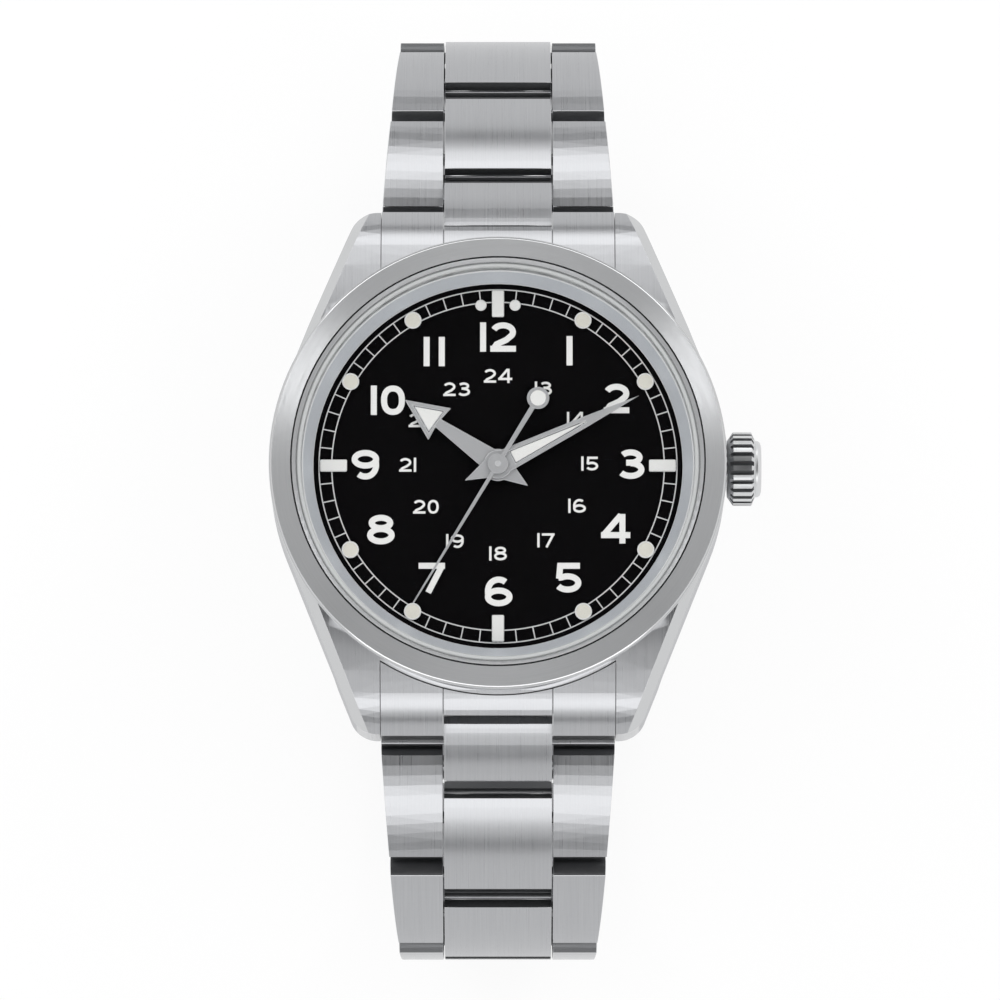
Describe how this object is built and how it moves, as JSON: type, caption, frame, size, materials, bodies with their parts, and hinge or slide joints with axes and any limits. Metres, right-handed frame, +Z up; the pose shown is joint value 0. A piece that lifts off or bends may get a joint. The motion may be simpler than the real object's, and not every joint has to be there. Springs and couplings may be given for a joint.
{
  "type": "automatic watch",
  "caption": "Self-winding wristwatch: round steel case, flat crystal, black dial with numerals, three hands, flush crown, link bracelet and folding clasp, standing on the clasp",
  "frame": {"origin": "on the hand axis, at the flat outer face of the closed clasp, which the watch stands on", "axes": "+Z up through the dial, +Y to twelve o'clock, +X to the crown"},
  "size_m": [0.0417, 0.0808, 0.0503],
  "materials": {
    "brushed_steel": "brushed",
    "polished_steel": "polished",
    "movement_steel": "striped",
    "gilt_brass": "gilt",
    "sapphire": "polished",
    "black_rubber": "matt",
    "white_nylon": "moulded",
    "dial_black": "matt lacquer",
    "lume": "matt",
    "hand_steel": "brushed",
    "blued_steel": "blued"
  },
  "bodies": {
    "head": {"case": "brushed_steel", "bezel": "brushed_steel", "crystal": "sapphire", "crystal_gasket": "white_nylon", "chapter_ring": "hand_steel", "dial": "dial_black", "hour_markers": "lume", "movement_ring": "movement_steel", "case_back": "brushed_steel", "case_back_window": "sapphire", "case_back_gasket": "black_rubber", "crown_tube": "polished_steel", "mainplate": "gilt_brass", "balance_cock": "movement_steel", "train_bridge": "movement_steel", "barrel_bridge": "movement_steel", "rotor_bearing": "polished_steel", "bridge_screws": "blued_steel", "spring_bars": "polished_steel", "end_link_12": "brushed_steel", "end_link_6": "brushed_steel"},
    "centre_arbor": {"centre_wheel": "gilt_brass", "minute_hand": "hand_steel"},
    "seconds_arbor": {"fourth_wheel": "gilt_brass", "seconds_hand": "hand_steel"},
    "hour_pipe": {"hour_wheel": "gilt_brass", "hour_hand": "hand_steel"},
    "mainspring_barrel": {"barrel": "gilt_brass"},
    "third": {"third_wheel": "gilt_brass"},
    "escape": {"escape_wheel": "polished_steel"},
    "minute_work": {"minute_wheel": "gilt_brass"},
    "pallet": {"pallet_fork": "polished_steel"},
    "balance": {"balance_wheel": "gilt_brass", "hairspring": "blued_steel"},
    "rotor": {"rotor": "movement_steel"},
    "winding": {"winding_pinion": "polished_steel"},
    "crown": {"crown": "brushed_steel", "winding_stem": "polished_steel"},
    "crown_gear": {"crown_wheel": "polished_steel"},
    "ratchet": {"ratchet_wheel": "polished_steel"},
    "link_12_1": {"link_12_1": "brushed_steel"},
    "link_12_2": {"link_12_2": "brushed_steel"},
    "link_12_3": {"link_12_3": "brushed_steel"},
    "link_12_4": {"link_12_4": "brushed_steel"},
    "link_12_5": {"link_12_5": "brushed_steel"},
    "link_6_1": {"link_6_1": "brushed_steel"},
    "link_6_2": {"link_6_2": "brushed_steel"},
    "link_6_3": {"link_6_3": "brushed_steel"},
    "link_6_4": {"link_6_4": "brushed_steel"},
    "link_6_5": {"link_6_5": "brushed_steel", "clasp_spring_bar": "polished_steel"},
    "clasp_blade_outer": {"clasp_outer_blade": "brushed_steel"},
    "clasp_blade_inner": {"clasp_inner_blade": "brushed_steel"},
    "clasp_shell": {"clasp_cover": "brushed_steel"},
    "button_left": {"clasp_button_left": "polished_steel"},
    "button_right": {"clasp_button_right": "polished_steel"}
  },
  "joints": [
    {"name": "minute_turn", "type": "hinge", "parent": "head", "child": "centre_arbor", "pos_m": [0, 0, 0.0442], "axis": [0, 0, -1], "continuous": true},
    {"name": "hour_turn", "type": "hinge", "parent": "head", "child": "hour_pipe", "pos_m": [0, 0, 0.0442], "axis": [0, 0, -1], "continuous": true},
    {"name": "seconds_turn", "type": "hinge", "parent": "head", "child": "seconds_arbor", "pos_m": [0, 0, 0.0442], "axis": [0, 0, -1], "continuous": true},
    {"name": "barrel_turn", "type": "hinge", "parent": "head", "child": "mainspring_barrel", "pos_m": [0.00336, 0.00582, 0.0442], "axis": [0, 0, -1], "continuous": true},
    {"name": "third_turn", "type": "hinge", "parent": "head", "child": "third", "pos_m": [0.00225, -0.0039, 0.0442], "axis": [0, 0, -1], "continuous": true},
    {"name": "escape_turn", "type": "hinge", "parent": "head", "child": "escape", "pos_m": [-0.00258, -0.00369, 0.0442], "axis": [0, 0, -1], "continuous": true},
    {"name": "minute_wheel_turn", "type": "hinge", "parent": "head", "child": "minute_work", "pos_m": [0.00277, -0.0016, 0.0442], "axis": [0, 0, -1], "continuous": true},
    {"name": "pallet_rock", "type": "hinge", "parent": "head", "child": "pallet", "pos_m": [-0.00483, -0.00499, 0.0442], "axis": [0, 0, 1], "range_deg": [-5, 5]},
    {"name": "balance_swing", "type": "hinge", "parent": "head", "child": "balance", "pos_m": [-0.0081, -0.0032, 0.0442], "axis": [0, 0, 1], "range_deg": [-135, 135]},
    {"name": "rotor_turn", "type": "hinge", "parent": "head", "child": "rotor", "pos_m": [0, 0, 0.0419], "axis": [0, 0, 1], "continuous": true},
    {"name": "crown_turn", "type": "hinge", "parent": "head", "child": "winding", "pos_m": [0.0102, 0, 0.0455], "axis": [1, 0, 0], "continuous": true},
    {"name": "crown_pull", "type": "slide", "parent": "winding", "child": "crown", "axis": [1, 0, 0], "range_m": [0, 0.0016]},
    {"name": "crown_wheel_turn", "type": "hinge", "parent": "head", "child": "crown_gear", "pos_m": [0.00848, 0, 0.0442], "axis": [0, 0, 1], "continuous": true},
    {"name": "ratchet_turn", "type": "hinge", "parent": "head", "child": "ratchet", "pos_m": [0.00336, 0.00582, 0.0442], "axis": [0, 0, 1], "continuous": true},
    {"name": "link_12_1_fold", "type": "hinge", "parent": "head", "child": "link_12_1", "pos_m": [0, 0.0241, 0.0387], "axis": [1, 0, 0], "range_deg": [0, 25]},
    {"name": "link_12_2_fold", "type": "hinge", "parent": "link_12_1", "child": "link_12_2", "pos_m": [0, 0.03314, 0.03316], "axis": [1, 0, 0], "range_deg": [0, 26.5]},
    {"name": "link_12_3_fold", "type": "hinge", "parent": "link_12_2", "child": "link_12_3", "pos_m": [0, 0.03995, 0.02504], "axis": [1, 0, 0], "range_deg": [0, 52.5]},
    {"name": "link_12_4_fold", "type": "hinge", "parent": "link_12_3", "child": "link_12_4", "pos_m": [0, 0.03912, 0.01447], "axis": [1, 0, 0], "range_deg": [0, 45.17]},
    {"name": "link_12_5_fold", "type": "hinge", "parent": "link_12_4", "child": "link_12_5", "pos_m": [0, 0.03207, 0.00656], "axis": [1, 0, 0], "range_deg": [0, 30.28]},
    {"name": "link_6_1_fold", "type": "hinge", "parent": "head", "child": "link_6_1", "pos_m": [0, -0.0241, 0.0387], "axis": [-1, 0, 0], "range_deg": [0, 25]},
    {"name": "link_6_2_fold", "type": "hinge", "parent": "link_6_1", "child": "link_6_2", "pos_m": [0, -0.03294, 0.03285], "axis": [-1, 0, 0], "range_deg": [0, 38]},
    {"name": "link_6_3_fold", "type": "hinge", "parent": "link_6_2", "child": "link_6_3", "pos_m": [0, -0.03767, 0.02336], "axis": [-1, 0, 0], "range_deg": [0, 45.5]},
    {"name": "link_6_4_fold", "type": "hinge", "parent": "link_6_3", "child": "link_6_4", "pos_m": [0, -0.03565, 0.01296], "axis": [-1, 0, 0], "range_deg": [0, 31.11]},
    {"name": "link_6_5_fold", "type": "hinge", "parent": "link_6_4", "child": "link_6_5", "pos_m": [0, -0.0297, 0.00418], "axis": [-1, 0, 0], "range_deg": [0, 51.46]},
    {"name": "clasp_link_fold", "type": "hinge", "parent": "link_12_5", "child": "clasp_blade_outer", "pos_m": [0, 0.02255, 0.0019], "axis": [1, 0, 0], "range_deg": [0, 28]},
    {"name": "clasp_open", "type": "hinge", "parent": "clasp_blade_outer", "child": "clasp_blade_inner", "pos_m": [0, -0.01185, 0.0026], "axis": [-1, 0, 0], "range_deg": [0, 140]},
    {"name": "clasp_cover_fold", "type": "hinge", "parent": "clasp_blade_inner", "child": "clasp_shell", "pos_m": [0, 0.01505, 0.0026], "axis": [-1, 0, 0], "range_deg": [-140, 0]},
    {"name": "button_left_press", "type": "slide", "parent": "clasp_shell", "child": "button_left", "axis": [1, 0, 0], "range_m": [0, 0.0008], "stiffness_N_per_m": 200},
    {"name": "button_right_press", "type": "slide", "parent": "clasp_shell", "child": "button_right", "axis": [-1, 0, 0], "range_m": [0, 0.0008], "stiffness_N_per_m": 200}
  ],
  "couplings": [
    {"joint": "minute_turn", "follows": "seconds_turn", "ratio": 0.016667},
    {"joint": "hour_turn", "follows": "seconds_turn", "ratio": 0.0013889},
    {"joint": "barrel_turn", "follows": "seconds_turn", "ratio": -0.0027778},
    {"joint": "third_turn", "follows": "seconds_turn", "ratio": -0.13333},
    {"joint": "escape_turn", "follows": "seconds_turn", "ratio": -12},
    {"joint": "minute_wheel_turn", "follows": "seconds_turn", "ratio": -0.0055556},
    {"joint": "crown_wheel_turn", "follows": "crown_turn", "ratio": 0.58333},
    {"joint": "ratchet_turn", "follows": "crown_turn", "ratio": -0.2029},
    {"joint": "clasp_cover_fold", "follows": "clasp_open", "ratio": -1}
  ]
}
